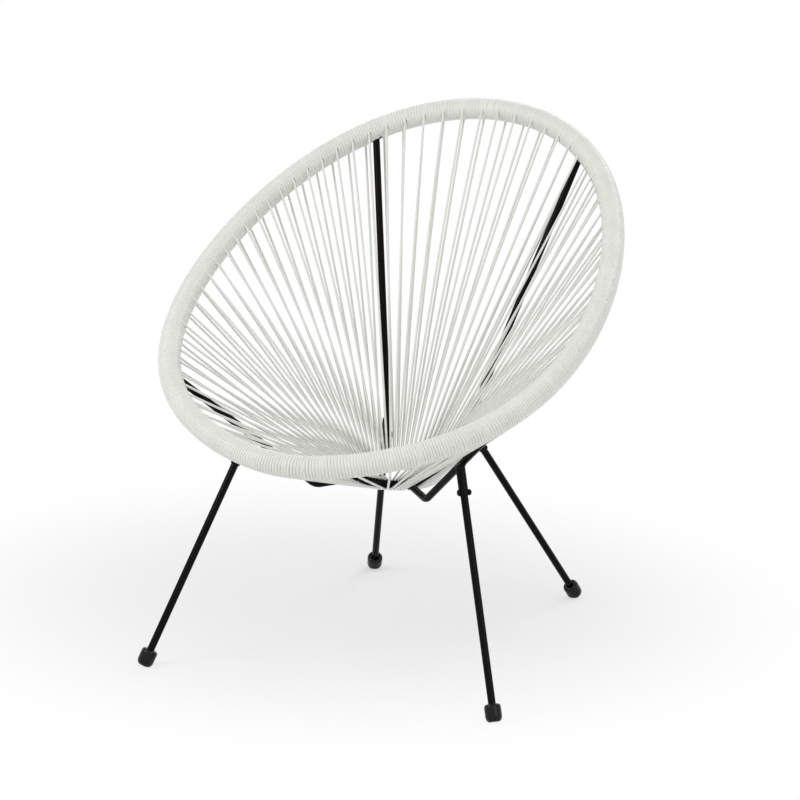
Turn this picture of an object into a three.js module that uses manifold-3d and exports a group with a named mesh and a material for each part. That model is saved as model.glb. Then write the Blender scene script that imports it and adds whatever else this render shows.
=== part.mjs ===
// An outdoor lounge chair of the Acapulco kind: a wound egg-shaped rim on a four-rib steel
// frame with splayed legs, and a bowl of cord strung from the rim to a small hub ring.
// Millimetres, +Z up, the seat opens towards -Y, origin on the floor below the middle of the box.
import * as THREE from 'three';
import { mergeVertices } from 'three/addons/utils/BufferGeometryUtils.js';
import Module from 'manifold-3d';

const wasm = await Module();
wasm.setup();

// Overall size, over the wound rim
const chairWidth = 666.75;
const chairDepth = 800.1;
const chairHeight = 787.4;

// Rim: the steel hoop and the cord wound round it
const hoopDiameter = 25.4;
const windingWall = 3.6;
const windingGap = 0.7;
const rimFrontHeight = 370.4;
const hoopSagDepth = 110.3;
const hoopSagHeight = 77;
const eggShares = [1, 0.259, -0.109, 0.121];

// Hub ring at the bottom of the bowl
const ringDiameter = 120;
const ringTube = 12;
const ringForward = 14.5;
const ringHeight = 264.3;

// Ribs from the hub ring to the hoop: each bend lies out along the plan line between its ends,
// a little inward of that line, and above or below the ring
const ribDiameter = 11;
const ribBendRadius = 22;
const frontRibBend = { out: 70, inward: 8, rise: -5 };
const backRibBend = { out: 66.1, inward: 6.5, rise: 23.4 };
const frontRibShare = 0.141;
const backRibShare = 0.418;
const frontRibTurn = 137;
const backRibTurn = 32;

// Legs, their sockets on the ribs, and the cross bolts
const legDiameter = 11.2;
const legWall = 1.5;
const frontFoot = { x: 275.5, y: -264.5, z: 12.5 };
const backFoot = { x: 172.2, y: 360.3, z: 12.5 };
const frontLegRibShare = 0.472;
const backLegRibShare = 0.074;
const socketWall = 1.1;
const socketLength = 41;
const socketRoof = 4;
const frontLegAside = 8;
const backLegAside = 0;
const boltDiameter = 5;
const boltHeight = 5;
const boltHeadDiameter = 9.5;
const boltHeadHeight = 3;
const nutDiameter = 9.2;
const nutHeight = 3.4;
const boltTail = 1;

// Foot caps
const capDiameter = 24.5;
const capLength = 26;
const capTipDiameter = 13;
const capTaperLength = 9;
const capShoulderLength = 5;
const capMouthWall = 2.6;
const capFloor = 6;
const capGroundCut = 1.5;

// Cord strung between the rim and the hub ring
const cordDiameter = 3.4;
const cordRootDepth = 3;
const ribGapTurn = 17.5;
const sideEdgePitchShare = 0.5;
const frontEdgePitchShare = 0.5;
const frontCrowdShare = 0.3;

// Clearance between pieces that touch
const seatGap = 0.3;

// Facet counts
const hoopSteps = 72;
const tubeSides = 8;
const cordSides = 5;
const hookCorners = 3;
const nutSides = 6;
const ringSteps = 40;
const roundSides = 12;
const bendSteps = 4;

const rimRadius = hoopDiameter / 2 + windingGap + windingWall;
const hoopRadius = hoopDiameter / 2;
const ribRadius = ribDiameter / 2;
const legRadius = legDiameter / 2;
const cordRadius = cordDiameter / 2;
const socketRadius = legRadius + seatGap + socketWall;
const ringCentre = new THREE.Vector3(0, ringForward, ringHeight);
const worldUp = new THREE.Vector3(0, 0, 1);

const steel = { color: 0x1d1b1a, roughness: 0.28, metalness: 0.0 };
const paint = {
  frame: new THREE.MeshStandardMaterial(steel),
  zinc: new THREE.MeshStandardMaterial({ color: 0x77787a, roughness: 0.35, metalness: 1.0 }),
  cap: new THREE.MeshStandardMaterial({ color: 0x161616, roughness: 0.55, metalness: 0.0 }),
  cord: new THREE.MeshStandardMaterial({ color: 0xe2e3dc, roughness: 0.45, metalness: 0.0 }),
};

const chair = new THREE.Group();
const sides = [{ word: 'left', sign: -1 }, { word: 'right', sign: 1 }];

// The hoop's centreline, from the front round by the left side and back to the front.
class HoopCurve extends THREE.Curve {
  constructor() {
    super();
    this.arcLengthDivisions = 2000;
    this.eggWidth = this.widest();
  }

  eggAt(turn) {
    const back = Math.cos(turn);
    const bulge = eggShares.reduce((sum, share, power) => sum + share * back ** power, 0);
    return Math.sin(turn) * bulge;
  }

  widest() {
    let most = 0;
    for (let step = 0; step <= this.arcLengthDivisions; step += 1) {
      most = Math.max(most, this.eggAt(Math.PI * step / this.arcLengthDivisions));
    }
    return most;
  }

  getPoint(share, target = new THREE.Vector3()) {
    const turn = Math.PI * (2 * share - 1);
    const back = Math.cos(turn);
    const sag = 1 - back * back;
    const halfRun = chairDepth / 2 - rimRadius;
    const topHeight = chairHeight - rimRadius;
    const midHeight = (topHeight + rimFrontHeight) / 2;
    const rise = (topHeight - rimFrontHeight) / 2;
    return target.set(
      (chairWidth / 2 - rimRadius) * this.eggAt(turn) / this.eggWidth,
      halfRun * back - hoopSagDepth * sag,
      midHeight + rise * back - hoopSagHeight * sag,
    );
  }
}

// A path through chosen points, with its section square to the mean direction at each point.
class Route extends THREE.Curve {
  constructor(points) {
    super();
    this.points = points;
  }

  getPoint(share, target = new THREE.Vector3()) {
    const place = share * (this.points.length - 1);
    const first = Math.min(Math.floor(place), this.points.length - 2);
    return target.lerpVectors(this.points[first], this.points[first + 1], place - first);
  }

  getPointAt(share, target) {
    return this.getPoint(share, target);
  }

  getTangentAt(share, target = new THREE.Vector3()) {
    const index = Math.round(share * (this.points.length - 1));
    target.set(0, 0, 0);
    if (index > 0) {
      target.add(direction(this.points[index - 1], this.points[index]));
    }
    if (index < this.points.length - 1) {
      target.add(direction(this.points[index], this.points[index + 1]));
    }
    return target.normalize();
  }
}

function direction(from, to) {
  return new THREE.Vector3().subVectors(to, from).normalize();
}

function along(point, heading, distance) {
  return point.clone().addScaledVector(heading, distance);
}

// The corner radius of a polygon whose flats stand off by the given radius.
function aroundRadius(radius, count) {
  return radius / Math.cos(Math.PI / count);
}

function solidOf(geometry) {
  const bare = geometry.clone();
  bare.deleteAttribute('normal');
  bare.deleteAttribute('uv');
  const merged = mergeVertices(bare);
  return new wasm.Manifold(new wasm.Mesh({
    numProp: 3,
    vertProperties: merged.attributes.position.array,
    triVerts: Uint32Array.from(merged.index.array),
  }));
}

function geometryOf(solid) {
  const mesh = solid.getMesh();
  const geometry = new THREE.BufferGeometry();
  geometry.setAttribute('position', new THREE.BufferAttribute(mesh.vertProperties, 3));
  geometry.setIndex(new THREE.BufferAttribute(mesh.triVerts, 1));
  geometry.computeVertexNormals();
  return geometry;
}

function addPiece(parent, name, solid, material) {
  const mesh = new THREE.Mesh(geometryOf(solid), material);
  mesh.name = name;
  parent.add(mesh);
}

function polygon(radius, count) {
  const outline = new THREE.Shape();
  for (let corner = 0; corner < count; corner += 1) {
    const angle = 2 * Math.PI * corner / count;
    const draw = corner === 0 ? 'moveTo' : 'lineTo';
    outline[draw](radius * Math.cos(angle), radius * Math.sin(angle));
  }
  outline.closePath();
  return outline;
}

function tubeThrough(points, radius, count) {
  return solidOf(new THREE.ExtrudeGeometry(polygon(radius, count), {
    steps: points.length - 1,
    bevelEnabled: false,
    extrudePath: new Route(points),
  }));
}

// A turned solid about local Z from [radius, height] pairs that close on themselves.
function turned(profile, count = roundSides) {
  const points = profile.map(([radius, height]) => new THREE.Vector2(radius, height));
  const closed = profile[0][0] === 0 ? points : [...points, points[0].clone()];
  const geometry = new THREE.LatheGeometry(closed, count);
  geometry.rotateX(Math.PI / 2);
  return solidOf(geometry);
}

function crossRod(radius, from, to, height, count) {
  const rod = new THREE.CylinderGeometry(radius, radius, to - from, count);
  rod.rotateZ(-Math.PI / 2);
  rod.translate((from + to) / 2, 0, height);
  return solidOf(rod);
}

const hoop = new HoopCurve();
const hoopLength = hoop.getLength();

function hoopSolid(radius) {
  return solidOf(new THREE.TubeGeometry(hoop, hoopSteps, radius, tubeSides, true));
}

function ringSolid(radius, count = tubeSides) {
  const torus = new THREE.TorusGeometry(ringDiameter / 2, radius, count, ringSteps);
  torus.translate(ringCentre.x, ringCentre.y, ringCentre.z);
  return solidOf(torus);
}

// A point on the hub ring's centreline, by its turn in degrees from the back towards +X.
function ringPoint(turn) {
  const angle = THREE.MathUtils.degToRad(turn);
  const outward = new THREE.Vector3(Math.sin(angle), Math.cos(angle), 0);
  return along(ringCentre, outward, ringDiameter / 2);
}

// The three corners of one rib: hub ring, bend, hoop.
function ribCorners(sign, bend, hoopShare, turn) {
  const start = ringPoint(sign * turn);
  const end = hoop.getPointAt(sign < 0 ? hoopShare : 1 - hoopShare);
  const outward = direction(start, end).setZ(0).normalize();
  const inward = new THREE.Vector3().crossVectors(worldUp, outward);
  inward.multiplyScalar(-Math.sign(inward.x) * sign);
  const corner = along(start, outward, bend.out).addScaledVector(inward, bend.inward);
  return [start, corner.addScaledVector(worldUp, bend.rise), end];
}

// The rib's points, with its bend as an arc of even steps.
function ribRoute([start, bend, end]) {
  const toStart = direction(bend, start);
  const toEnd = direction(bend, end);
  const halfOpening = toStart.angleTo(toEnd) / 2;
  const setback = ribBendRadius / Math.tan(halfOpening);
  const inward = new THREE.Vector3().addVectors(toStart, toEnd).normalize();
  const centre = along(bend, inward, ribBendRadius / Math.sin(halfOpening));
  const first = direction(centre, along(bend, toStart, setback));
  const last = direction(centre, along(bend, toEnd, setback));
  const sweep = first.angleTo(last);
  const arc = [];
  for (let step = 0; step <= bendSteps; step += 1) {
    const share = step / bendSteps;
    const heading = first.clone().multiplyScalar(Math.sin((1 - share) * sweep) / Math.sin(sweep));
    heading.addScaledVector(last, Math.sin(share * sweep) / Math.sin(sweep));
    arc.push(along(centre, heading, ribBendRadius));
  }
  return [start, ...arc, end];
}

const ribPlans = [];
for (const side of sides) {
  ribPlans.push({
    side,
    end: 'front',
    corners: ribCorners(side.sign, frontRibBend, frontRibShare, frontRibTurn),
    foot: frontFoot,
    legShare: frontLegRibShare,
    legAside: frontLegAside,
  });
  ribPlans.push({
    side,
    end: 'back',
    corners: ribCorners(side.sign, backRibBend, backRibShare, backRibTurn),
    foot: backFoot,
    legShare: backLegRibShare,
    legAside: backLegAside,
  });
}

function ribSolid(plan, radius) {
  return tubeThrough(ribRoute(plan.corners), radius, tubeSides);
}

function makeRim() {
  addPiece(chair, 'hoop_tube', hoopSolid(hoopRadius), paint.frame);
  addPiece(chair, 'hub_ring', ringSolid(ringTube / 2), paint.frame);
}

// Each rib stops short of the hoop and the ring by the weld's clearance.
function makeRib(plan) {
  const room = aroundRadius(seatGap, tubeSides);
  const rib = ribSolid(plan, ribRadius)
    .subtract(hoopSolid(hoopRadius + room))
    .subtract(ringSolid(ringTube / 2 + room));
  const pieces = rib.decompose().sort((a, b) => b.volume() - a.volume());
  addPiece(chair, `rib_${plan.end}_${plan.side.word}`, pieces[0], paint.frame);
}

// Where the leg's axis runs, how long it is, and where its socket ends.
function legPlan(plan) {
  const [, bend, end] = plan.corners;
  const foot = new THREE.Vector3(plan.side.sign * plan.foot.x, plan.foot.y, plan.foot.z);
  const ribHeading = direction(bend, end);
  const crossing = bend.clone().lerp(end, plan.legShare);
  const reach = ribRadius + seatGap + socketRadius;
  const sideways = direction(foot, crossing).cross(ribHeading).normalize();
  sideways.multiplyScalar(-Math.sign(sideways.y));
  crossing.addScaledVector(sideways, plan.legAside);
  const heading = direction(foot, crossing);
  const slant = Math.sin(heading.angleTo(ribHeading));
  const drop = Math.sqrt(reach ** 2 - plan.legAside ** 2) / slant;
  const base = along(foot, heading, -foot.z / heading.z);
  const across = new THREE.Vector3().crossVectors(worldUp, heading).normalize();
  across.multiplyScalar(plan.side.sign);
  const turn = new THREE.Matrix4().makeBasis(
    across,
    new THREE.Vector3().crossVectors(heading, across),
    heading,
  );
  return {
    base,
    turn,
    domeHeight: base.distanceTo(crossing) - drop,
    lean: heading.angleTo(worldUp),
  };
}

function domeProfile(radius, height, steps) {
  const points = [];
  for (let step = 0; step <= steps; step += 1) {
    const angle = Math.PI / 2 * step / steps;
    const edge = step === steps ? 0 : radius * Math.cos(angle);
    points.push([edge, height + radius * Math.sin(angle)]);
  }
  return points;
}

function boltHole(height) {
  const reach = socketRadius + seatGap;
  const radius = aroundRadius(boltDiameter / 2 + seatGap, tubeSides);
  return crossRod(radius, -reach, reach, height, tubeSides);
}

function socketSolid(domeHeight, bolt) {
  const bore = aroundRadius(legRadius + seatGap, roundSides);
  const roof = domeHeight + socketRadius - socketRoof;
  const mouth = domeHeight - socketLength;
  return turned([
    [0, roof],
    [bore, roof],
    [bore, mouth],
    [aroundRadius(socketRadius, roundSides), mouth],
    ...domeProfile(socketRadius, domeHeight, bendSteps),
  ]).subtract(boltHole(bolt));
}

function legSolid(bottom, top, bolt) {
  return turned([
    [legRadius - legWall, bottom],
    [legRadius, bottom],
    [legRadius, top],
    [legRadius - legWall, top],
  ]).subtract(boltHole(bolt));
}

// A round-shouldered cap that tapers towards the ground.
function capSolid(base) {
  const bore = aroundRadius(legRadius + seatGap, roundSides);
  const radius = capDiameter / 2;
  const shoulder = base + capLength - capShoulderLength;
  const mouthRadius = bore + capMouthWall;
  const profile = [
    [0, base],
    [capTipDiameter / 2, base],
    [radius, base + capTaperLength],
  ];
  for (let step = 0; step <= bendSteps; step += 1) {
    const angle = Math.PI / 2 * step / bendSteps;
    profile.push([
      mouthRadius + (radius - mouthRadius) * Math.cos(angle),
      shoulder + capShoulderLength * Math.sin(angle),
    ]);
  }
  profile.push([bore, base + capLength], [bore, base + capFloor], [0, base + capFloor]);
  return turned(profile);
}

function groundBlock(matrix) {
  const reach = 2 * capDiameter;
  const block = new THREE.BoxGeometry(reach, reach, capLength);
  const ground = new THREE.Vector3().setFromMatrixPosition(matrix);
  block.translate(ground.x, ground.y, -capLength / 2);
  block.applyMatrix4(matrix.clone().invert());
  return solidOf(block);
}

function boltSolid(bolt) {
  const seat = socketRadius / Math.cos(Math.PI / roundSides) + seatGap;
  const tail = seat + seatGap + nutHeight + boltTail;
  const shaft = crossRod(boltDiameter / 2, -tail, seat, bolt, tubeSides);
  const head = crossRod(boltHeadDiameter / 2, seat, seat + boltHeadHeight, bolt, tubeSides);
  return shaft.add(head);
}

function nutSolid(bolt) {
  const seat = socketRadius / Math.cos(Math.PI / roundSides) + seatGap;
  const bore = aroundRadius(boltDiameter / 2 + seatGap, tubeSides);
  const outer = crossRod(nutDiameter / 2, -seat - nutHeight, -seat, bolt, nutSides);
  return outer.subtract(crossRod(bore, -seat - 2 * nutHeight, seat, bolt, tubeSides));
}

function makeLeg(plan) {
  const leg = legPlan(plan);
  const group = new THREE.Group();
  group.position.copy(leg.base);
  group.quaternion.setFromRotationMatrix(leg.turn);
  group.updateMatrix();
  chair.add(group);
  const place = `${plan.end}_${plan.side.word}`;
  const mouth = leg.domeHeight - socketLength;
  const bolt = mouth + boltHeight;
  const tipDrop = capTipDiameter / 2 * Math.sin(leg.lean);
  const capBase = (tipDrop - capGroundCut) / Math.cos(leg.lean);
  const legBottom = capBase + capFloor + seatGap;
  const legTop = leg.domeHeight + socketRadius - socketRoof - seatGap;
  const cap = capSolid(capBase).subtract(groundBlock(group.matrix));
  addPiece(group, `leg_${place}`, legSolid(legBottom, legTop, bolt), paint.frame);
  addPiece(group, `leg_socket_${place}`, socketSolid(leg.domeHeight, bolt), paint.frame);
  addPiece(group, `leg_bolt_${place}`, boltSolid(bolt), paint.zinc);
  addPiece(group, `leg_nut_${place}`, nutSolid(bolt), paint.zinc);
  addPiece(group, `foot_cap_${place}`, cap, paint.cap);
}

// The rim's own directions at one place along the hoop, in millimetres from the front.
function rimStation(distance) {
  const share = THREE.MathUtils.euclideanModulo(distance / hoopLength, 1);
  const centre = hoop.getPointAt(share);
  const heading = hoop.getTangentAt(share);
  const inward = new THREE.Vector3().subVectors(ringCentre, centre);
  inward.addScaledVector(heading, -inward.dot(heading)).normalize();
  const above = new THREE.Vector3().crossVectors(inward, heading);
  return { centre, inward, above: above.multiplyScalar(Math.sign(above.z)) };
}

// The winding's body through the given places along the hoop.
function windingBody(places, radius) {
  const positions = [];
  const faces = [];
  for (const distance of places) {
    const station = rimStation(distance);
    for (let corner = 0; corner < tubeSides; corner += 1) {
      const angle = 2 * Math.PI * (corner + 1 / 2) / tubeSides;
      const point = along(station.centre, station.inward, radius * Math.cos(angle));
      point.addScaledVector(station.above, radius * Math.sin(angle));
      positions.push(point.x, point.y, point.z);
    }
  }
  for (let ring = 0; ring < places.length - 1; ring += 1) {
    for (let corner = 0; corner < tubeSides; corner += 1) {
      const next = (corner + 1) % tubeSides;
      const here = ring * tubeSides;
      const there = here + tubeSides;
      faces.push(here + corner, there + next, here + next);
      faces.push(here + corner, there + corner, there + next);
    }
  }
  const lastRing = (places.length - 1) * tubeSides;
  for (let corner = 1; corner < tubeSides - 1; corner += 1) {
    faces.push(0, corner, corner + 1);
    faces.push(lastRing, lastRing + corner + 1, lastRing + corner);
  }
  const geometry = new THREE.BufferGeometry();
  geometry.setAttribute('position', new THREE.Float32BufferAttribute(positions, 3));
  geometry.setIndex(faces);
  return solidOf(geometry);
}

// A sleeve of winding whose corners follow the hoop's own.
function windingSleeve(from, to) {
  const step = hoopLength / hoopSteps;
  const inner = [];
  for (let index = Math.ceil(from / step + 1 / 4); index * step < to - step / 4; index += 1) {
    inner.push(index * step);
  }
  const boreRadius = aroundRadius(hoopRadius + windingGap, tubeSides);
  const bore = windingBody([from - windingWall, ...inner, to + windingWall], boreRadius);
  return windingBody([from, ...inner, to], rimRadius).subtract(bore);
}

// One length of cord: off the top of the rim, round the hub ring, back to the rim's underside.
function strandPair(pair) {
  const station = rimStation(pair.distance);
  const hook = ringPoint(pair.turn);
  const outward = direction(ringCentre, hook);
  const toRim = new THREE.Vector3().subVectors(station.centre, hook);
  const climb = Math.atan2(toRim.z, toRim.dot(outward));
  const rootHeight = rimRadius - cordRadius;
  const hookRadius = aroundRadius(ringTube / 2 + seatGap + cordRadius, 2 * hookCorners);
  const points = [];
  for (let corner = 0; corner < hookCorners; corner += 1) {
    const angle = climb + Math.PI / 2 + Math.PI * (corner + 1 / 2) / hookCorners;
    const point = along(hook, outward, hookRadius * Math.cos(angle));
    points.push(along(point, worldUp, hookRadius * Math.sin(angle)));
  }
  const top = along(station.centre, station.above, rootHeight);
  const bottom = along(station.centre, station.above, -rootHeight);
  points.unshift(along(top, direction(points[0], top), cordRootDepth));
  points.push(along(bottom, direction(points[points.length - 1], bottom), cordRootDepth));
  return tubeThrough(points, cordRadius, cordSides);
}

// A bay lies between two ribs: its pairs are spread along the rim and packed on the hub ring.
function bayPairs(bay) {
  const pairs = [];
  const run = (bay.toShare - bay.fromShare) * hoopLength;
  const sweep = bay.toTurn - bay.fromTurn - ribGapTurn;
  for (let index = 0; index < bay.count; index += 1) {
    const share = index / (bay.count - 1);
    const inner = bay.edgeShare + (bay.count - 2 * bay.edgeShare) * spread(share, bay.crowd);
    pairs.push({
      distance: bay.fromShare * hoopLength + run * inner / bay.count,
      turn: bay.fromTurn + ribGapTurn / 2 + sweep * share,
    });
  }
  return pairs;
}

function spread(share, crowd) {
  return share - crowd * Math.sin(2 * Math.PI * share) / (2 * Math.PI);
}

// Where the winding is divided after some of a bay's pairs: at a rib, or between two pairs.
function bayPlace(bay, pairs, done) {
  if (done === 0) {
    return bay.fromShare * hoopLength;
  }
  if (done === bay.count) {
    return bay.toShare * hoopLength;
  }
  return (pairs[done - 1].distance + pairs[done].distance) / 2;
}

function makeSeatCord(bay) {
  const pairs = bayPairs(bay);
  let done = 0;
  bay.partCounts.forEach((partCount, index) => {
    const own = pairs.slice(done, done + partCount);
    const from = bayPlace(bay, pairs, done) + seatGap / 2;
    done += partCount;
    const to = bayPlace(bay, pairs, done) - seatGap / 2;
    let cord = windingSleeve(from, to);
    for (const rib of bay.ribs) {
      cord = cord.subtract(ribSolid(rib, aroundRadius(ribRadius + seatGap, tubeSides)));
    }
    for (const pair of own) {
      cord = cord.add(strandPair(pair));
    }
    addPiece(chair, `seat_cord_${bay.word}_${index + 1}`, cord, paint.cord);
  });
}

const findRib = (word, end) => ribPlans.find((rib) => rib.side.word === word && rib.end === end);
const bays = [
  {
    word: 'left',
    fromShare: frontRibShare,
    toShare: backRibShare,
    fromTurn: -frontRibTurn,
    toTurn: -backRibTurn,
    count: 21,
    crowd: 0,
    edgeShare: sideEdgePitchShare,
    partCounts: [5, 5, 5, 6],
    ribs: [findRib('left', 'front'), findRib('left', 'back')],
  },
  {
    word: 'back',
    fromShare: backRibShare,
    toShare: 1 - backRibShare,
    fromTurn: -backRibTurn,
    toTurn: backRibTurn,
    count: 12,
    crowd: 0,
    edgeShare: sideEdgePitchShare,
    partCounts: [3, 3, 3, 3],
    ribs: [findRib('left', 'back'), findRib('right', 'back')],
  },
  {
    word: 'right',
    fromShare: 1 - backRibShare,
    toShare: 1 - frontRibShare,
    fromTurn: backRibTurn,
    toTurn: frontRibTurn,
    count: 21,
    crowd: 0,
    edgeShare: sideEdgePitchShare,
    partCounts: [6, 5, 5, 5],
    ribs: [findRib('right', 'back'), findRib('right', 'front')],
  },
  {
    word: 'front',
    fromShare: 1 - frontRibShare,
    toShare: 1 + frontRibShare,
    fromTurn: frontRibTurn,
    toTurn: 360 - frontRibTurn,
    count: 17,
    crowd: frontCrowdShare,
    edgeShare: frontEdgePitchShare,
    partCounts: [4, 4, 4, 5],
    ribs: [findRib('right', 'front'), findRib('left', 'front')],
  },
];

// The least gap between two neighbouring lengths of cord is at the hub ring, inside the hook.
function leastStrandGap() {
  const hooked = ringDiameter / 2 - ringTube / 2 - seatGap - cordRadius;
  const gaps = bays.map((bay) => {
    const sweep = THREE.MathUtils.degToRad(bay.toTurn - bay.fromTurn - ribGapTurn);
    return 2 * hooked * Math.sin(sweep / (bay.count - 1) / 2) - cordDiameter;
  });
  return Math.min(...gaps);
}

makeRim();
ribPlans.forEach(makeRib);
ribPlans.forEach(makeLeg);
bays.forEach(makeSeatCord);
console.log(`least gap between strands at the hub ring: ${leastStrandGap().toFixed(2)} mm`);

export default chair;
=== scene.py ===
import math

import bpy
import numpy as np
from mathutils import Matrix, Vector


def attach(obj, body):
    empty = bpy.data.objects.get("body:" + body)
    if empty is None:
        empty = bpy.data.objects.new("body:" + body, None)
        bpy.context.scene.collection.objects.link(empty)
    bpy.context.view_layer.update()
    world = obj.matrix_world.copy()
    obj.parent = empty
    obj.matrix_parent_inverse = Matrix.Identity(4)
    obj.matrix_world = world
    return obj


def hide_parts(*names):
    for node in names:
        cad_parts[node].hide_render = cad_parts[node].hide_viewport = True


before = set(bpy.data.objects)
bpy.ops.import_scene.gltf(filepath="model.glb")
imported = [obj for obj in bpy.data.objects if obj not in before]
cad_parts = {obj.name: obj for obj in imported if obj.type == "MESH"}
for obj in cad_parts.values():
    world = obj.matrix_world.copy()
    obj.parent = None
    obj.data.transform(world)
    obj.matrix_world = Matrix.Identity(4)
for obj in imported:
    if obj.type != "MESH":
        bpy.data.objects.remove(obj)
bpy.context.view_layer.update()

# Overall size over the wound rim. Lengths are in metres and angles in degrees.
CHAIR_WIDTH = 0.66675
CHAIR_DEPTH = 0.8001
CHAIR_HEIGHT = 0.7874

# Rim
HOOP_RADIUS = 0.0127
RIM_RADIUS = 0.017
RIM_FRONT_HEIGHT = 0.3704
HOOP_SAG_DEPTH = 0.1103
HOOP_SAG_HEIGHT = 0.077
EGG_SHARES = (1, 0.259, -0.109, 0.121)
HOOP_SAMPLES = 4000

# Hub ring
RING_RADIUS = 0.06
RING_TUBE_RADIUS = 0.006
RING_CENTRE = np.array((0.0, 0.0145, 0.2643))
RING_STEPS = 96

# Ribs: a rod stops at the start share of the ring rod's radius from its middle, and at the end
# share of the hoop's radius from the hoop's middle
RIB_RADIUS = 0.0055
RIB_BEND_RADIUS = 0.022
RIB_BENDS = {"front": (0.07, 0.008, -0.005), "back": (0.0661, 0.0065, 0.0234)}
RIB_BEND_STEPS = 12
RIB_SHARES = {"front": 0.141, "back": 0.418}
RIB_TURNS = {"front": 137.0, "back": 32.0}
RIB_START_SHARE = 0.8
RIB_END_SHARE = 0.9

# Legs and sockets: a leg's tube starts that far above its foot cap's base
LEG_RADIUS = 0.0056
LEG_START = 0.008
FEET = {"front": (0.2755, -0.2645, 0.0125), "back": (0.1722, 0.3603, 0.0125)}
LEG_RIB_SHARES = {"front": 0.472, "back": 0.074}
LEG_ASIDE = {"front": 0.008, "back": 0.0}
SEAT_GAP = 0.0003
BORE_RADIUS = LEG_RADIUS + SEAT_GAP
SOCKET_WALL = 0.0011
SOCKET_RADIUS = BORE_RADIUS + SOCKET_WALL
SOCKET_LENGTH = 0.041
SOCKET_BORE_DEPTH = 0.006
SOCKET_LIP = 0.0006
SOCKET_LIP_STEPS = 4
SOCKET_DOME_STEPS = 10

# Cross bolts and nuts
BOLT_HEIGHT = 0.005
BOLT_RADIUS = 0.0025
BOLT_SIDES = 20
BOLT_TAIL = 0.001
BOLT_CHAMFER = 0.0005
BOLT_HEAD_RADIUS = 0.00475
BOLT_HEAD_HEIGHT = 0.003
BOLT_HEAD_SIDES = 24
BOLT_DOME_ANGLES = (8, 86)
BOLT_DOME_STEPS = 8
NUT_RADIUS = 0.0046
NUT_HEIGHT = 0.0034
NUT_SIDES = 6

# Weld beads: one at the ring runs the out share of its radius off the ring's surface, and the
# in share of it under the rib's
WELD_RADIUS = 0.0022
WELD_SIDES = 12
WELD_STEPS = 28
WELD_RIPPLE = 0.0003
WELD_RIPPLE_COUNT = 7
WELD_OUT_SHARE = 0.4
WELD_IN_SHARE = 0.2
SOCKET_WELD_REACH = 0.003
RIB_SEARCH_STEPS = 40

# Foot caps
CAP_RADIUS = 0.01225
CAP_LENGTH = 0.026
CAP_TIP_RADIUS = 0.0065
CAP_TAPER_LENGTH = 0.009
CAP_TAPER_STEPS = 10
CAP_SHOULDER_LENGTH = 0.005
CAP_SHOULDER_DROP = 0.002
CAP_SHOULDER_STEPS = 8
CAP_MOUTH_WALL = 0.0026
CAP_MOUTH_CHAMFER = 0.0005
CAP_BORE_DEPTH = 0.004
CAP_GROUND_CUT = 0.0015

# Cord: round in the strands, flattened where it is wound
CORD_RADIUS = 0.00172
CORD_SIDES = 12
ROUND_SQUARENESS = 2
TURN_HEIGHT = 0.0019
TURN_PITCH = 0.0041
TURN_SQUARENESS = 2.5
TURN_WIDTH_SHARE = 0.53
TURN_STEPS = 20
TURN_JITTER = 0.00004
HALF_TURN = 0.5
HOLD_TURN = 0.25
TUCK_TURN = 0.25
TUCK_DEPTH = 0.0012
RIB_PUSH_REACH = 0.02
RIB_GAP_TURN = 17.5
HOOK_STEPS = 10
STRAND_SAG = 0.0012
SAG_SHARES = (0.2, 1)
STRAND_SHARES = (0.015, 0.04, 0.12, 0.3, 0.5, 0.7, 0.88, 0.96, 0.985)
RANDOM_SEED = 7

# Pairs of strands: how many there are in each section of a bay, and how the turns close on them
PAIR_COUNTS = {
    "left": (5, 5, 5, 6),
    "back": (3, 3, 3, 3),
    "right": (6, 5, 5, 5),
    "front": (4, 4, 4, 5),
}
EDGE_PITCH_SHARE = 0.5
FRONT_CROWD_SHARE = 0.3
PAIR_SPLIT = 0.002
PAIR_SLOT_SHARE = 0.56
LEAF_SLOT = 0.0002

# Meshes: the hints are directions that no rod runs along, to start a section across
SMOOTH_SIDES = 32
SHARP_ANGLE = 35
TUBE_HINT = (0.31, 0.17, 0.93)
WELD_HINT = (0.2, 0.1, 1)

# Looks: colour and roughness vary between two ends by a broad noise, the cloud, and the grain is
# a fine noise for the relief. A noise is given as scale and detail, a relief as strength and depth.
PAINT = {
    "specular": 0.06,
    "cloud": (35, 4),
    "roughness": (0.1, 0.17),
    "grain": (900, 2),
    "relief": (0.05, 0.0003),
}
LOOKS = {
    "frame_paint": {**PAINT, "colors": ((0.003, 0.0028, 0.0025), (0.006, 0.0056, 0.005))},
    "rib_paint": {**PAINT, "colors": ((0.004, 0.0022, 0.002), (0.007, 0.004, 0.0036))},
    "bolt_paint": {**PAINT, "colors": ((0.008, 0.008, 0.008), (0.016, 0.016, 0.016))},
    "cap_plastic": {
        "specular": 0.2,
        "cloud": (120, 3),
        "roughness": (0.12, 0.22),
        "grain": (2200, 2),
        "relief": (0.08, 0.0002),
        "colors": ((0.003, 0.003, 0.003), (0.007, 0.007, 0.007)),
    },
    "seat_cord": {
        "specular": 0.5,
        "cloud": (26, 3),
        "roughness": (0.24, 0.36),
        "grain": (420, 2),
        "relief": (0.06, 0.0002),
        "colors": ((0.73, 0.74, 0.69), (0.785, 0.79, 0.75)),
    },
}
RAMP_SHARES = (0.3, 0.7)
WHITE = (1, 1, 1, 1)

# The photograph's camera
LENS = 154.23
SENSOR = 36.0
CAMERA_PLACE = Vector((1.88677, -4.6184, 1.61155))
CAMERA_AZIMUTH = 22.11
CAMERA_PITCH = 13.835
CAMERA_ROLL = 1.665
CAMERA_REACH = 100

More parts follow.
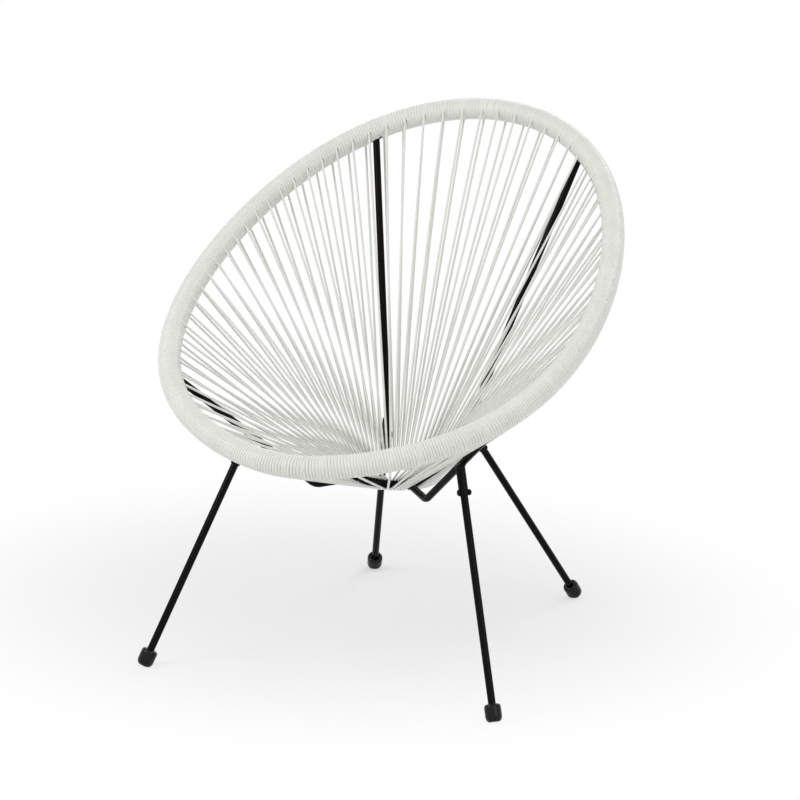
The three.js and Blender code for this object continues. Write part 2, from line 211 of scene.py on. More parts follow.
# Stage
FLOOR_REACH = 40
FLOOR_DROP = 0.0006
FLOOR_COLOR = (0.86, 0.86, 0.86, 1)
FLOOR_ROUGHNESS = 0.9
# Painted shadow on the floor under the chair: near the shade's centre the glow takes a smaller
# share and is dimmer, and both rise to plain white by the far distance.
FLOOR_SHADE_CENTRE = (-0.15, 0.2, 0)
FLOOR_SHADE_NEAR = 0.05
FLOOR_SHADE_FAR = 0.8
FLOOR_PAINTED_SHADOW_SHARE = 0.5
FLOOR_PAINTED_SHADOW_GLOW = 0.84
WORLD_STRENGTH = 0.66
LAMP_TARGET = Vector((0, 0, 0.4))
LAMPS = {
    "key": {"place": (-2.2, -2.6, 3.4), "size": 1.6, "power": 46},
    "glint": {"place": (-1.9, -2.9, 1.5), "size": 0.3, "power": 9},
    "fill": {"place": (3.0, -1.6, 1.8), "size": 2.0, "power": 18},
    "rim": {"place": (0.8, 3.0, 2.6), "size": 1.6, "power": 30},
}

chance = np.random.default_rng(RANDOM_SEED)


def unit(vector):
    return vector / np.linalg.norm(vector)


def make_camera():
    azimuth, pitch, roll = (
        math.radians(value) for value in (CAMERA_AZIMUTH, CAMERA_PITCH, CAMERA_ROLL)
    )
    ahead = Vector((
        -math.sin(azimuth) * math.cos(pitch),
        math.cos(azimuth) * math.cos(pitch),
        -math.sin(pitch),
    ))
    level = Vector((math.cos(azimuth), math.sin(azimuth), 0))
    above = level.cross(ahead)
    right = level * math.cos(roll) + above * math.sin(roll)
    up = above * math.cos(roll) - level * math.sin(roll)
    data = bpy.data.cameras.new("camera")
    data.lens = LENS
    data.sensor_width = SENSOR
    data.clip_end = CAMERA_REACH
    camera = bpy.data.objects.new("camera", data)
    camera.matrix_world = Matrix.Translation(CAMERA_PLACE) @ Matrix((
        (right.x, up.x, -ahead.x, 0),
        (right.y, up.y, -ahead.y, 0),
        (right.z, up.z, -ahead.z, 0),
        (0, 0, 0, 1),
    ))
    bpy.context.scene.collection.objects.link(camera)
    bpy.context.scene.camera = camera


# Materials
def set_inputs(node, **values):
    """Sets a node's inputs by their names, where an underscore stands for a space."""
    for name, value in values.items():
        node.inputs[name.replace("_", " ")].default_value = value
    return node


def new_material(name, **values):
    material = bpy.data.materials.new(name)
    material.use_nodes = True
    shader = set_inputs(material.node_tree.nodes["Principled BSDF"], **values)
    return material, material.node_tree, shader


def noise_value(tree, scale, detail):
    place = tree.nodes.new("ShaderNodeTexCoord")
    noise = set_inputs(tree.nodes.new("ShaderNodeTexNoise"), Scale=scale, Detail=detail)
    tree.links.new(place.outputs["Object"], noise.inputs["Vector"])
    return noise.outputs["Fac"]


def range_node(tree, source, **ends):
    """A node that spreads a value over another range, from the ends that are given."""
    spread = set_inputs(tree.nodes.new("ShaderNodeMapRange"), **ends)
    tree.links.new(source, spread.inputs["Value"])
    return spread


def math_value(tree, operation, *sources):
    node = tree.nodes.new("ShaderNodeMath")
    node.operation = operation
    for source, socket in zip(sources, node.inputs):
        tree.links.new(source, socket)
    return node.outputs[0]


def mix_shaders(tree, share, first, second, output):
    """Sends two shaders to an output, with the given share of the second."""
    mix = tree.nodes.new("ShaderNodeMixShader")
    for source, socket in zip((share, first.outputs[0], second.outputs[0]), mix.inputs):
        tree.links.new(source, socket)
    tree.links.new(mix.outputs[0], tree.nodes[output].inputs["Surface"])


def cloudy_material(name, look):
    """A material whose colour and gloss vary by a broad noise, with a fine noise as relief."""
    material, tree, shader = new_material(name, Specular_IOR_Level=look["specular"])
    cloud = noise_value(tree, *look["cloud"])
    ramp = tree.nodes.new("ShaderNodeValToRGB")
    for element, share, color in zip(ramp.color_ramp.elements, RAMP_SHARES, look["colors"]):
        element.position = share
        element.color = (*color, 1)
    tree.links.new(cloud, ramp.inputs["Fac"])
    tree.links.new(ramp.outputs["Color"], shader.inputs["Base Color"])
    low, high = look["roughness"]
    gloss = range_node(tree, cloud, To_Min=low, To_Max=high)
    tree.links.new(gloss.outputs["Result"], shader.inputs["Roughness"])
    strength, depth = look["relief"]
    bump = set_inputs(tree.nodes.new("ShaderNodeBump"), Strength=strength, Distance=depth)
    tree.links.new(noise_value(tree, *look["grain"]), bump.inputs["Height"])
    tree.links.new(bump.outputs["Normal"], shader.inputs["Normal"])
    return material


# Mesh helpers: a shape is a list of vertices with a list of faces
def make_object(name, shape, material, smooth=True):
    vertices, faces = shape
    mesh = bpy.data.meshes.new(name)
    mesh.from_pydata([tuple(vertex) for vertex in vertices], [], faces)
    mesh.materials.append(material)
    mesh.polygons.foreach_set("use_smooth", [smooth] * len(mesh.polygons))
    mesh.update()
    obj = bpy.data.objects.new(name, mesh)
    bpy.context.scene.collection.objects.link(obj)
    return obj


def add_piece(name, shape, material, nodes, smooth=True):
    obj = make_object(name, shape, material, smooth)
    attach(obj, "root")
    if nodes:
        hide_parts(*nodes)
    return obj


def sharpen(obj):
    """Keeps the corners of a smooth mesh crisp where its faces meet at a wide angle."""
    obj.data.set_sharp_from_angle(angle=math.radians(SHARP_ANGLE))


def tube_faces(total, count, closed=False):
    """The faces of a tube made of rings of corners, with its ends closed unless it is a loop."""
    faces = []
    for ring in range(total if closed else total - 1):
        here = ring * count
        there = (ring + 1) % total * count
        for corner in range(count):
            after = (corner + 1) % count
            faces.append((here + corner, here + after, there + after, there + corner))
    if not closed:
        faces.append(tuple(reversed(range(count))))
        faces.append(tuple(range((total - 1) * count, total * count)))
    return faces


def loop_twist(tangents, sides):
    """How far the section of a loop has turned when it comes back to its start."""
    ahead = np.cross(tangents[0], sides[0])
    last = unit(sides[-1] - tangents[0] * sides[-1].dot(tangents[0]))
    return math.atan2(last.dot(ahead), last.dot(sides[0]))


def sweep(points, radius, count, closed=False):
    """A round tube through points, as a loop or with flat ends."""
    points = np.asarray(points, float)
    if closed:
        tangents = np.roll(points, -1, axis=0) - np.roll(points, 1, axis=0)
    else:
        tangents = np.gradient(points, axis=0)
    tangents /= np.linalg.norm(tangents, axis=1)[:, None]
    side = unit(np.cross(tangents[0], TUBE_HINT))
    sides = []
    for tangent in tangents:
        side = unit(side - tangent * side.dot(tangent))
        sides.append(side)
    sides = np.array(sides)
    others = np.cross(tangents, sides)
    twist = loop_twist(tangents, sides) if closed else 0
    angles = np.arange(count) * 2 * math.pi / count
    turns = angles - twist * np.linspace(0, 1, len(points))[:, None]
    outward = np.cos(turns)[..., None] * sides[:, None] + np.sin(turns)[..., None] * others[:, None]
    rings = points[:, None] + radius * outward
    return rings.reshape(-1, 3), tube_faces(len(points), count, closed)


def lathe(profile, matrix, count=SMOOTH_SIDES):
    """A turned shape about local Z from (radius, height) pairs. A radius of 0 is one vertex."""
    vertices = []
    faces = []
    rings = []
    for radius, height in profile:
        if radius == 0:
            rings.append([len(vertices)] * count)
            vertices.append((0, 0, height))
            continue
        rings.append(list(range(len(vertices), len(vertices) + count)))
        for corner in range(count):
            angle = 2 * math.pi * corner / count
            vertices.append((radius * math.cos(angle), radius * math.sin(angle), height))
    for lower, upper in zip(rings, rings[1:]):
        for corner in range(count):
            after = (corner + 1) % count
            face = (lower[corner], lower[after], upper[after], upper[corner])
            faces.append(tuple(dict.fromkeys(face)))
    return [matrix @ Vector(vertex) for vertex in vertices], faces


def arc_profile(centre, reaches, angles, steps):
    """Points of an arc round a centre, by its reaches out and up, between two angles."""
    start, end = angles
    points = []
    for step in range(steps + 1):
        angle = math.radians(start + (end - start) * step / steps)
        points.append((
            centre[0] + reaches[0] * math.cos(angle),
            centre[1] + reaches[1] * math.sin(angle),
        ))
    return points


# The rim's centreline
def egg(turn):
    back = np.cos(turn)
    bulge = sum(share * back ** power for power, share in enumerate(EGG_SHARES))
    return np.sin(turn) * bulge


EGG_WIDTH = egg(np.linspace(0, math.pi, HOOP_SAMPLES)).max()


def hoop_point(turn):
    back = np.cos(turn)
    sag = 1 - back * back
    top = CHAIR_HEIGHT - RIM_RADIUS
    middle = (top + RIM_FRONT_HEIGHT) / 2
    rise = (top - RIM_FRONT_HEIGHT) / 2
    return np.stack((
        (CHAIR_WIDTH / 2 - RIM_RADIUS) * egg(turn) / EGG_WIDTH,
        (CHAIR_DEPTH / 2 - RIM_RADIUS) * back - HOOP_SAG_DEPTH * sag,
        middle + rise * back - HOOP_SAG_HEIGHT * sag,
    ), axis=-1)


HOOP_TURNS = np.linspace(-math.pi, math.pi, HOOP_SAMPLES)
HOOP_STEPS = np.linalg.norm(np.diff(hoop_point(HOOP_TURNS), axis=0), axis=1)
HOOP_ARC = np.concatenate(((0.0,), np.cumsum(HOOP_STEPS)))
HOOP_LENGTH = HOOP_ARC[-1]


def rim_station(distance):
    """Centre, heading, inward and upward directions of the rim, by distance from the front."""
    distance = np.asarray(distance, float)
    turn = np.interp(np.mod(distance, HOOP_LENGTH), HOOP_ARC, HOOP_TURNS)
    centre = hoop_point(turn)
    nudge = math.pi / HOOP_SAMPLES
    heading = hoop_point(turn + nudge) - hoop_point(turn - nudge)
    heading /= np.linalg.norm(heading, axis=-1, keepdims=True)
    inward = RING_CENTRE - centre
    inward -= heading * (inward * heading).sum(-1, keepdims=True)
    inward /= np.linalg.norm(inward, axis=-1, keepdims=True)
    above = np.cross(inward, heading)
    above *= np.sign(above[..., 2:3])
    return centre, heading, inward, above


def ring_point(turn):
    """A point of the hub ring with its outward direction, by the turn in degrees from the back."""
    angle = math.radians(turn)
    outward = np.array((math.sin(angle), math.cos(angle), 0.0))
    return RING_CENTRE + outward * RING_RADIUS, outward


# The frame's own lines
def rib_share(sign, end):
    return RIB_SHARES[end] if sign < 0 else 1 - RIB_SHARES[end]


def rib_corners(sign, end):
    """Hub ring, bend and hoop: the bend lies out along, inward of and above the plan line."""
    tip, _, _, _ = rim_station(rib_share(sign, end) * HOOP_LENGTH)
    start, _ = ring_point(sign * RIB_TURNS[end])
    out, inward, rise = RIB_BENDS[end]
    outward = unit((tip - start) * (1, 1, 0))
    across = np.cross((0, 0, 1), outward)
    across *= -np.sign(across[0]) * sign
    bend = start + outward * out + across * inward + np.array((0, 0, rise))
    return start, bend, tip


def rib_line(corners, steps):
    """Points along a rib, with the given steps round its bend."""
    start, bend, end = corners
    to_start, to_end = unit(start - bend), unit(end - bend)
    half = math.acos(to_start.dot(to_end)) / 2
    setback = RIB_BEND_RADIUS / math.tan(half)
    centre = bend + unit(to_start + to_end) * RIB_BEND_RADIUS / math.sin(half)
    first = unit(bend + to_start * setback - centre)
    last = unit(bend + to_end * setback - centre)
    bend_angle = math.acos(first.dot(last))
    points = [start, start + (bend + to_start * setback - start) / 2]
    for step in range(steps + 1):
        share = step / steps
        heading = first * math.sin((1 - share) * bend_angle) + last * math.sin(share * bend_angle)
        points.append(centre + heading * RIB_BEND_RADIUS / math.sin(bend_angle))
    points.append(points[-1] + (end - points[-1]) / 2)
    points.append(end)
    return points


def leg_frame(sign, end):
    """The leg's own axes on the floor, its dome's height along them, and its lean."""
    _, bend, tip = rib_corners(sign, end)
    foot = np.array(FEET[end]) * (sign, 1, 1)
    rib_heading = unit(tip - bend)
    crossing = bend + (tip - bend) * LEG_RIB_SHARES[end]
    sideways = unit(np.cross(unit(crossing - foot), rib_heading))
    sideways *= -np.sign(sideways[1])
    crossing = crossing + sideways * LEG_ASIDE[end]
    heading = unit(crossing - foot)
    slant = math.sqrt(1 - heading.dot(rib_heading) ** 2)
    reach = RIB_RADIUS + SEAT_GAP + SOCKET_RADIUS
    drop = math.sqrt(reach ** 2 - LEG_ASIDE[end] ** 2) / slant
    base = foot - heading * foot[2] / heading[2]
    across = unit(np.cross((0, 0, 1), heading)) * sign
    other = np.cross(heading, across)
    rows = [(*row, base[index]) for index, row in enumerate(zip(across, other, heading))]
    matrix = Matrix((*rows, (0, 0, 0, 1)))
    return matrix, np.linalg.norm(crossing - base) - drop, math.acos(heading[2])


# The frame's pieces
def make_ring(paint):
    angles = np.linspace(0, 2 * math.pi, RING_STEPS + 1)[:-1]
    points = RING_CENTRE + RING_RADIUS * np.stack(
        (np.sin(angles), np.cos(angles), np.zeros_like(angles)), axis=1
    )
    rod = sweep(points, RING_TUBE_RADIUS, SMOOTH_SIDES, closed=True)
    add_piece("hub_ring_rod", rod, paint, ["hub_ring"])


def weld_bead(centre, heading, radius):
    """A lumpy bead round a rod where it meets another."""
    side = unit(np.cross(heading, WELD_HINT))
    other = np.cross(heading, side)
    points = []
    for step in range(WELD_STEPS):
        angle = 2 * math.pi * step / WELD_STEPS
        ripple = WELD_RIPPLE * math.sin(WELD_RIPPLE_COUNT * angle)
        outward = side * math.cos(angle) + other * math.sin(angle)
        points.append(centre + outward * (radius + ripple) + heading * ripple)
    return sweep(points, WELD_RADIUS, WELD_SIDES, closed=True)


def make_rib(sign, side, end, paint):
    """A rib with the weld bead at its foot on the hub ring."""
    corners = rib_corners(sign, end)
    line = rib_line(corners, RIB_BEND_STEPS)
    inner = unit(line[1] - line[0])
    outer = unit(line[-1] - line[-2])
    line[0] = line[0] + inner * RING_TUBE_RADIUS * RIB_START_SHARE
    line[-1] = line[-1] - outer * HOOP_RADIUS * RIB_END_SHARE
    rod = add_piece(f"rib_{end}_{side}_rod", sweep(line, RIB_RADIUS, SMOOTH_SIDES), paint,
                    [f"rib_{end}_{side}"])
    sharpen(rod)
    centre = corners[0] + inner * (RING_TUBE_RADIUS + WELD_RADIUS * WELD_OUT_SHARE)
    bead = weld_bead(centre, inner, RIB_RADIUS - WELD_RADIUS * WELD_IN_SHARE)
    add_piece(f"weld_{end}_{side}", bead, paint, [])


def make_leg(sign, side, end, paints):
    """A leg with its socket, the socket's weld bead, the cross bolt and nut, and the foot cap."""
    matrix, dome, lean = leg_frame(sign, end)
    place = f"{end}_{side}"
    tip_drop = CAP_TIP_RADIUS * math.sin(lean)
    cap_base = (tip_drop - CAP_GROUND_CUT) / math.cos(lean)
    start = cap_base + LEG_START
    profile = [(0, start), (LEG_RADIUS, start), (LEG_RADIUS, dome), (0, dome)]
    leg = add_piece(f"leg_{place}_tube", lathe(profile, matrix), paints["frame_paint"],
                    [f"leg_{place}"])
    sharpen(leg)
    mouth = dome - SOCKET_LENGTH
    make_socket(place, matrix, mouth, dome, paints["frame_paint"])
    top = np.array(matrix @ Vector((0, 0, dome)))
    make_socket_weld(place, top, rib_corners(sign, end), paints["rib_paint"])
    make_bolt(place, matrix, mouth + BOLT_HEIGHT, paints["bolt_paint"])
    make_cap(place, matrix, cap_base, paints["cap_plastic"])


def make_socket(place, matrix, mouth, dome, paint):
    """The visible skin of a socket: its mouth with a rounded lip, its sleeve and its dome."""
    lip = SOCKET_LIP
    radius = SOCKET_RADIUS
    profile = [(BORE_RADIUS, mouth + SOCKET_BORE_DEPTH), (BORE_RADIUS, mouth)]
    profile += arc_profile((radius - lip, mouth + lip), (lip, lip), (-90, 0), SOCKET_LIP_STEPS)
    profile += arc_profile((0, dome), (radius, radius), (0, 90), SOCKET_DOME_STEPS)[:-1]
    profile += [(0, dome + radius)]
    socket = add_piece(f"leg_socket_{place}_sleeve", lathe(profile, matrix), paint,
                       [f"leg_socket_{place}"])
    sharpen(socket)


def make_socket_weld(place, top, corners, paint):
    """A bead between the socket's dome and the nearest stretch of its rib."""
    line = np.array(rib_line(corners, RIB_SEARCH_STEPS))
    shares = np.linspace(0, 1, RIB_SEARCH_STEPS)[:, None]
    spots = np.concatenate([low + (high - low) * shares for low, high in zip(line, line[1:])])
    nearest = spots[np.argmin(np.linalg.norm(spots - top, axis=1))]
    heading = unit(nearest - top)
    centre = top + heading * (SOCKET_RADIUS + SEAT_GAP / 2)
    bead = weld_bead(centre, heading, SOCKET_WELD_REACH)
    add_piece(f"socket_weld_{place}", bead, paint, [])


def make_bolt(place, matrix, height, paint):
    """The bolt's domed head and plain shaft with the nut, turned about a line across the leg."""
    quarter = Matrix.Rotation(math.pi / 2, 4, "Y")
    across = matrix @ Matrix.Translation((0, 0, height)) @ quarter
    chamfer = BOLT_CHAMFER
    seat = SOCKET_RADIUS + SEAT_GAP
    head = [(0, seat), (BOLT_HEAD_RADIUS - chamfer, seat), (BOLT_HEAD_RADIUS, seat + chamfer)]
    head += arc_profile((0, seat + chamfer), (BOLT_HEAD_RADIUS, BOLT_HEAD_HEIGHT - chamfer),
                        BOLT_DOME_ANGLES, BOLT_DOME_STEPS)
    head += [(0, seat + BOLT_HEAD_HEIGHT)]
    tail = seat + NUT_HEIGHT + BOLT_TAIL
    shaft = [(0, -tail), (BOLT_RADIUS - chamfer, -tail), (BOLT_RADIUS, chamfer - tail),
             (BOLT_RADIUS, seat), (0, seat)]
    for word, profile, sides in (("head", head, BOLT_HEAD_SIDES), ("shaft", shaft, BOLT_SIDES)):
        piece = add_piece(f"leg_bolt_{place}_{word}", lathe(profile, across, sides), paint,
                          [f"leg_bolt_{place}"])
        sharpen(piece)
    nut = [(BOLT_RADIUS, -seat - NUT_HEIGHT), (NUT_RADIUS - chamfer, -seat - NUT_HEIGHT),
           (NUT_RADIUS, chamfer - seat - NUT_HEIGHT), (NUT_RADIUS, -seat - chamfer),
           (NUT_RADIUS - chamfer, -seat), (BOLT_RADIUS, -seat)]
    add_piece(f"leg_nut_{place}_body", lathe(nut, across, NUT_SIDES), paint,
              [f"leg_nut_{place}"], smooth=False)


def make_cap(place, matrix, base, paint):
    """A foot cap with a rounded base, a barrel and a rounded shoulder, cut level at the floor."""
    top = base + CAP_LENGTH
    taper = base + CAP_TAPER_LENGTH
    shoulder = top - CAP_SHOULDER_LENGTH
    mouth = BORE_RADIUS + CAP_MOUTH_WALL
    chamfer = CAP_MOUTH_CHAMFER
    profile = [(0, base)]
    profile += arc_profile((CAP_TIP_RADIUS, taper), (CAP_RADIUS - CAP_TIP_RADIUS, CAP_TAPER_LENGTH),
                           (-90, 0), CAP_TAPER_STEPS)
    profile += [(CAP_RADIUS, shoulder - CAP_SHOULDER_DROP)]
    profile += arc_profile((mouth, shoulder), (CAP_RADIUS - mouth, CAP_SHOULDER_LENGTH),
                           (0, 90), CAP_SHOULDER_STEPS)
    profile += [(BORE_RADIUS + chamfer, top), (BORE_RADIUS, top - chamfer),
                (BORE_RADIUS, top - CAP_BORE_DEPTH), (0, top - CAP_BORE_DEPTH)]
    vertices, faces = lathe(profile, matrix)
    level = [Vector((v.x, v.y, max(v.z, 0))) for v in vertices]
    cap = add_piece(f"foot_cap_{place}_shell", (level, faces), paint,
                    [f"foot_cap_{place}"])
    sharpen(cap)


# The cord: two lengths, each wound from the back middle of the rim to the front middle
def spread(share, crowd):
    return share - crowd * math.sin(2 * math.pi * share) / (2 * math.pi)


def bays():
    """Each bay's word, its ends as shares of the rim and turns of the ring, and its crowding."""
    front, back = RIB_SHARES["front"], RIB_SHARES["back"]
    front_turn, back_turn = RIB_TURNS["front"], RIB_TURNS["back"]
    return [
        ("left", (front, back), (-front_turn, -back_turn), 0),
        ("back", (back, 1 - back), (-back_turn, back_turn), 0),
        ("right", (1 - back, 1 - front), (back_turn, front_turn), 0),
        ("front", (1 - front, 1 + front), (front_turn, 360 - front_turn), FRONT_CROWD_SHARE),
    ]


def cord_plan():
    """Each pair as (distance, upper and lower ring turn), each section as (word, start, end)."""
    pairs = []
    sections = []
    for word, (low, high), (turn_low, turn_high), crowd in bays():
        count = sum(PAIR_COUNTS[word])
        run = (high - low) * HOOP_LENGTH
        arc = turn_high - turn_low - RIB_GAP_TURN
        own_pairs = []
        for index in range(count):
            share = index / (count - 1)
            inner = EDGE_PITCH_SHARE + (count - 2 * EDGE_PITCH_SHARE) * spread(share, crowd)
            own_pairs.append((
                low * HOOP_LENGTH + run * inner / count,
                turn_low + (turn_high - turn_low) * (index + 0.5) / count,
                turn_low + RIB_GAP_TURN / 2 + arc * share,
            ))
        pairs += own_pairs
        borders = [low * HOOP_LENGTH]
        for done in np.cumsum(PAIR_COUNTS[word])[:-1]:
            borders.append((own_pairs[done - 1][0] + own_pairs[done][0]) / 2)
        borders.append(high * HOOP_LENGTH)
        for index, (start, end) in enumerate(zip(borders, borders[1:])):
            sections.append((f"{word}_{index + 1}", start, end))
    return pairs, sections


def rib_places():
    """Where the ribs enter the rim: distance from the front, and angle round the tube."""
    places = []
    for end in ("front", "back"):
        for sign in (-1, 1):
            distance = rib_share(sign, end) * HOOP_LENGTH
            _, _, inward, above = rim_station(distance)
            _, bend, tip = rib_corners(sign, end)
            away = unit(bend - tip)
            places.append((distance, math.atan2(away.dot(above), away.dot(inward))))
    return places


def signed_place(distance):
    """A distance along the rim from the front middle, positive on the left-hand side."""
    return np.mod(distance + HOOP_LENGTH / 2, HOOP_LENGTH) - HOOP_LENGTH / 2


def part_round_ribs(distances, angles, ribs):
    """Moves the turns apart where a rib comes through them."""
    clear = RIB_RADIUS + TURN_PITCH / 2 + SEAT_GAP
    moved = distances.copy()
    for place, angle in ribs:
        gap = signed_place(distances - place)
        round_angle = np.mod(angles - angle + math.pi, 2 * math.pi) - math.pi
        room = np.clip(clear ** 2 - (RIM_RADIUS * round_angle) ** 2, 0, None)
        fade = np.exp(-(gap / RIB_PUSH_REACH) ** 2)
        moved += np.sign(gap) * np.sqrt(gap ** 2 + room * fade) - gap
    return moved


class CordPath:
    """Points of one cord, with the section's direction and size and the rim's place at each."""

    def __init__(self):
        self.points = []
        self.normals = []
        self.sizes = []
        self.places = []

    def add(self, points, normals, sizes, places):
        self.points += list(points)
        self.normals += list(normals)
        self.sizes += list(sizes)
        self.places += list(places)


def closing(angles, pitch, split, free_side):
    """How far the turns at an end move towards it, by their angle round the tube.

    A free end meets the other cord's end, and free_side is 1 or -1 where it moves the turns on
    the tube's top or underside. It is 0 at a pair of strands.
    """
    quarter = pitch / 4
    if free_side:
        inner = split + quarter
        side = np.where(np.sin(angles) * free_side > 0, split, 0)
    else:
        inner = split + 3 * quarter - PAIR_SLOT_SHARE * pitch
        side = 2 * split - 2 * quarter - LEAF_SLOT
    outer = split - quarter
    facing = np.cos(angles)
    face = np.where(facing > 0, inner, outer)
    return side + (face - side) * np.abs(facing)


def turn_count(start, end, ribs):
    """Whole turns between two places, an even number where a rib comes through them."""
    low, high = min(start, end), max(start, end)
    count = max(round((high - low) / TURN_PITCH - HALF_TURN), 1)
    holds_rib = any(low < signed_place(place) < high for place, _ in ribs)
    return count + 1 if holds_rib and count % 2 == 1 else count


def wind(path, start, end, splits, frees, ribs):
    """Turns from the tube's underside at one place to its top at another.

    A free end has a part of a turn more, tucked under its neighbour.
    """
    length = abs(end - start)
    count = turn_count(start, end, ribs)
    whole = count + HALF_TURN
    pitch = length / whole
    first, final = (TUCK_TURN * abs(free) for free in frees)
    steps = round((first + whole + final) * TURN_STEPS)
    turns = np.linspace(-first, whole + final, steps + 1)
    angles = -math.pi / 2 - 2 * math.pi * turns
    seen = np.clip(turns, 0, whole)
    places = start + (end - start) * seen / whole
    from_middle = places - (start + end) / 2
    pulls = [closing(angles, pitch, split, free) for split, free in zip(splits, frees)]
    pull = np.where(turns < whole / 2, *pulls) / (length / 2 - pitch / 2)
    held = np.clip(np.minimum(turns, whole - turns) / HOLD_TURN, 0, 1)
    pull = pull * held
    wobble = np.interp(turns, np.arange(count + 2), chance.normal(0, TURN_JITTER, count + 2))
    distances = places + from_middle * pull + wobble * held
    centre, _, inward, above = rim_station(part_round_ribs(distances, angles, ribs))
    normals = np.cos(angles)[:, None] * inward + np.sin(angles)[:, None] * above
    sizes = np.stack((
        TURN_WIDTH_SHARE * pitch * (1 + pull),
        np.full(len(turns), TURN_HEIGHT),
        np.full(len(turns), TURN_SQUARENESS),
    ), axis=1)
    tucked = np.abs(turns - seen)[:, None] / TUCK_TURN * TUCK_DEPTH
    path.add(centre + (RIM_RADIUS - TURN_HEIGHT - tucked) * normals, normals, sizes, places)


def climb_angle(rim_centre, turn):
    """How steeply a strand climbs from the hub ring to the rim."""
    hook, outward = ring_point(turn)
    to_rim = rim_centre - hook
    return math.atan2(to_rim[2], to_rim.dot(outward))


def string_pair(path, top_place, under_place, turns, place):
    """The cord from the rim's top, round the hub ring, to the rim's underside."""
    top_centre, _, _, top_above = rim_station(top_place)
    under_centre, _, _, under_above = rim_station(under_place)
    first = climb_angle(top_centre, turns[0]) + math.pi / 2
    last = climb_angle(under_centre, turns[1]) + 3 * math.pi / 2
    hook_radius = RING_TUBE_RADIUS + CORD_RADIUS + SEAT_GAP / 2
    hooked, radials = [], []
    for share in np.linspace(0, 1, HOOK_STEPS + 1):
        hook, outward = ring_point(turns[0] + (turns[1] - turns[0]) * share)
        angle = first + (last - first) * share
        radial = outward * math.cos(angle) + np.array((0, 0, math.sin(angle)))
        hooked.append(hook + hook_radius * radial)
        radials.append(radial)
    reach = RIM_RADIUS - TURN_HEIGHT
    down = taut_stretch(top_centre + top_above * reach, hooked[0])
    back = taut_stretch(hooked[-1], under_centre - under_above * reach)
    shares = np.array(STRAND_SHARES)[:, None]
    normals = [
        *(top_above * (1 - shares) + radials[0] * shares),
        *radials,
        *(radials[-1] * (1 - shares) - under_above * shares),
    ]
    points = [*down, *hooked, *back]
    sizes = [(CORD_RADIUS, CORD_RADIUS, ROUND_SQUARENESS)] * len(points)
    path.add(points, normals, sizes, [place] * len(points))


def taut_stretch(start, end):
    """Points between two ends of a taut strand, with a slight sag."""
    sag = STRAND_SAG * float(chance.uniform(*SAG_SHARES))
    points = []
    for share in STRAND_SHARES:
        point = start + (end - start) * share
        point[2] -= sag * 4 * share * (1 - share)
        points.append(point)
    return points


def cord_path(pairs, side, last, ribs):
    """One cord through its own pairs, wound down one side from the back middle."""
    path = CordPath()
    end_split = TURN_PITCH / 2
    leaving = side * (HOOP_LENGTH / 2 - end_split)
    splits = [end_split, PAIR_SPLIT]
    frees = [1, 0]
    for place, *turns in pairs:
        split = side * PAIR_SPLIT
        wind(path, leaving, place + split, splits, frees, ribs)
        string_pair(path, place + split, place - split, turns, place)
        leaving = place - split
        splits = [PAIR_SPLIT, PAIR_SPLIT]
        frees = [0, 0]
    wind(path, leaving, last + side * end_split, [PAIR_SPLIT, end_split], [0, -1], ribs)
    return path


def cord_tube(points, normals, sizes):
    """A tube whose section is a rounded oblong, from half widths, half heights and squareness."""
    tangents = np.gradient(points, axis=0)
    tangents /= np.linalg.norm(tangents, axis=1)[:, None]
    normals = normals - tangents * (normals * tangents).sum(1)[:, None]
    normals /= np.linalg.norm(normals, axis=1)[:, None]
    others = np.cross(tangents, normals)
    angles = np.arange(CORD_SIDES) * 2 * math.pi / CORD_SIDES
    power = ROUND_SQUARENESS / sizes[:, 2:3]
    across = np.sign(np.cos(angles)) * np.abs(np.cos(angles)) ** power * sizes[:, 0:1]
    up = np.sign(np.sin(angles)) * np.abs(np.sin(angles)) ** power * sizes[:, 1:2]
    rings = points[:, None] + across[..., None] * others[:, None] + up[..., None] * normals[:, None]
    return rings.reshape(-1, 3), tube_faces(len(points), CORD_SIDES)


def section_shape(paths, start, end):
    """The stretches of the cords that belong to one section of the rim."""
    vertices, faces = [], []
    for path in paths:
        along = np.mod(np.array(path.places) - start, HOOP_LENGTH)
        inside = np.concatenate(((False,), along < end - start, (False,)))
        edges = np.flatnonzero(np.diff(inside.astype(int)))
        for begin, stop in zip(edges[::2], edges[1::2]):
            columns = (path.points, path.normals, path.sizes)
            tube, sides = cord_tube(*(np.array(column[begin:stop + 1]) for column in columns))
            faces += [tuple(corner + len(vertices) for corner in face) for face in sides]
            vertices += list(tube)
    return vertices, faces


def make_cord(material):
    pairs, sections = cord_plan()
    pairs = [(float(signed_place(place)), *turns) for place, *turns in pairs]
    left = sorted((pair for pair in pairs if pair[0] > -TURN_PITCH), reverse=True)
    right = sorted(pair for pair in pairs if pair[0] <= -TURN_PITCH)
    last = (left[-1][0] + right[-1][0]) / 2
    ribs = rib_places()
    paths = [cord_path(left, 1, last, ribs), cord_path(right, -1, last, ribs)]
    for word, start, end in sections:
        add_piece(f"seat_cord_{word}_strands", section_shape(paths, start, end), material,
                  [f"seat_cord_{word}"])


# Stage
def seen_plainly(tree):
    """One where the camera, a reflection or a clear piece looks straight at a surface."""
    path = tree.nodes.new("ShaderNodeLightPath")
    seen = path.outputs["Is Camera Ray"]
    for kind in ("Is Glossy Ray", "Is Transmission Ray"):
        seen = math_value(tree, "MAXIMUM", seen, path.outputs[kind])
    return seen


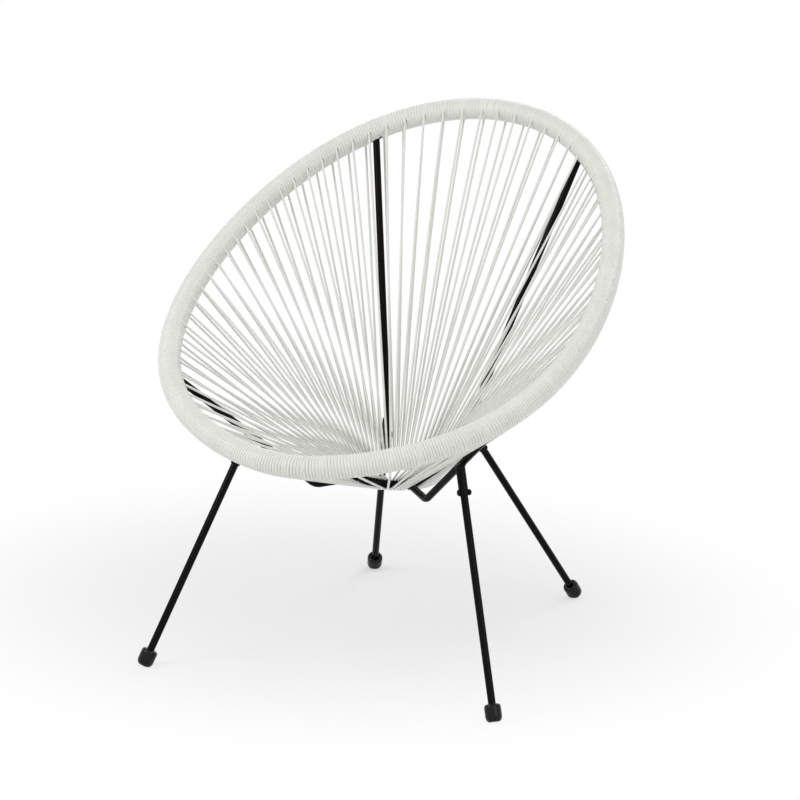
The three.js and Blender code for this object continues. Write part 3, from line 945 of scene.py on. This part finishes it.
def make_floor():
    """A matt floor that fades to a plain white glow away from the chair, with a painted shadow
    round the chair where the glow is weaker and dimmer.
    """
    material, tree, shader = new_material(
        "floor", Base_Color=FLOOR_COLOR, Roughness=FLOOR_ROUGHNESS
    )
    corners = [
        (x * FLOOR_REACH, y * FLOOR_REACH, -FLOOR_DROP)
        for x, y in ((-1, -1), (1, -1), (1, 1), (-1, 1))
    ]
    floor = make_object("floor", (corners, [(0, 1, 2, 3)]), material, smooth=False)
    place = tree.nodes.new("ShaderNodeTexCoord")
    distance = tree.nodes.new("ShaderNodeVectorMath")
    distance.operation = "DISTANCE"
    distance.inputs[1].default_value = FLOOR_SHADE_CENTRE
    tree.links.new(place.outputs["Object"], distance.inputs[0])
    # Painted shadow: the glow's share and strength are lowest round the shade's centre under the
    # chair.
    white = range_node(
        tree, distance.outputs["Value"], From_Min=FLOOR_SHADE_NEAR, From_Max=FLOOR_SHADE_FAR,
        To_Min=FLOOR_PAINTED_SHADOW_SHARE, To_Max=1,
    )
    white.interpolation_type = "SMOOTHSTEP"
    glow_with_painted_shadow = range_node(
        tree, white.outputs["Result"], From_Min=FLOOR_PAINTED_SHADOW_SHARE, To_Min=FLOOR_PAINTED_SHADOW_GLOW
    )
    glow = tree.nodes.new("ShaderNodeEmission")
    tree.links.new(glow_with_painted_shadow.outputs["Result"], glow.inputs["Strength"])
    share = math_value(tree, "MULTIPLY", seen_plainly(tree), white.outputs["Result"])
    mix_shaders(tree, share, shader, glow, "Material Output")


def make_world():
    """White where it is seen plainly, and dimmer as a light."""
    world = bpy.data.worlds.new("studio")
    bpy.context.scene.world = world
    world.use_nodes = True
    tree = world.node_tree
    light = set_inputs(tree.nodes["Background"], Color=WHITE, Strength=WORLD_STRENGTH)
    seen = set_inputs(tree.nodes.new("ShaderNodeBackground"), Color=WHITE)
    mix_shaders(tree, seen_plainly(tree), light, seen, "World Output")


def make_lights():
    for name, lamp in LAMPS.items():
        data = bpy.data.lights.new(name, "AREA")
        data.shape = "SQUARE"
        data.size = lamp["size"]
        data.energy = lamp["power"]
        obj = bpy.data.objects.new(name, data)
        obj.location = lamp["place"]
        heading = LAMP_TARGET - Vector(lamp["place"])
        obj.rotation_euler = heading.to_track_quat("-Z", "Y").to_euler()
        bpy.context.scene.collection.objects.link(obj)


make_camera()
paints = {name: cloudy_material(name, look) for name, look in LOOKS.items()}
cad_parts["hoop_tube"].data.materials.clear()
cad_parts["hoop_tube"].data.materials.append(paints["rib_paint"])
make_ring(paints["rib_paint"])
for side_sign, side_word in ((-1, "left"), (1, "right")):
    for end_word in ("front", "back"):
        make_rib(side_sign, side_word, end_word, paints["rib_paint"])
        make_leg(side_sign, side_word, end_word, paints)
make_cord(paints["seat_cord"])
make_floor()
make_world()
make_lights()
bpy.context.scene.view_settings.view_transform = "Standard"
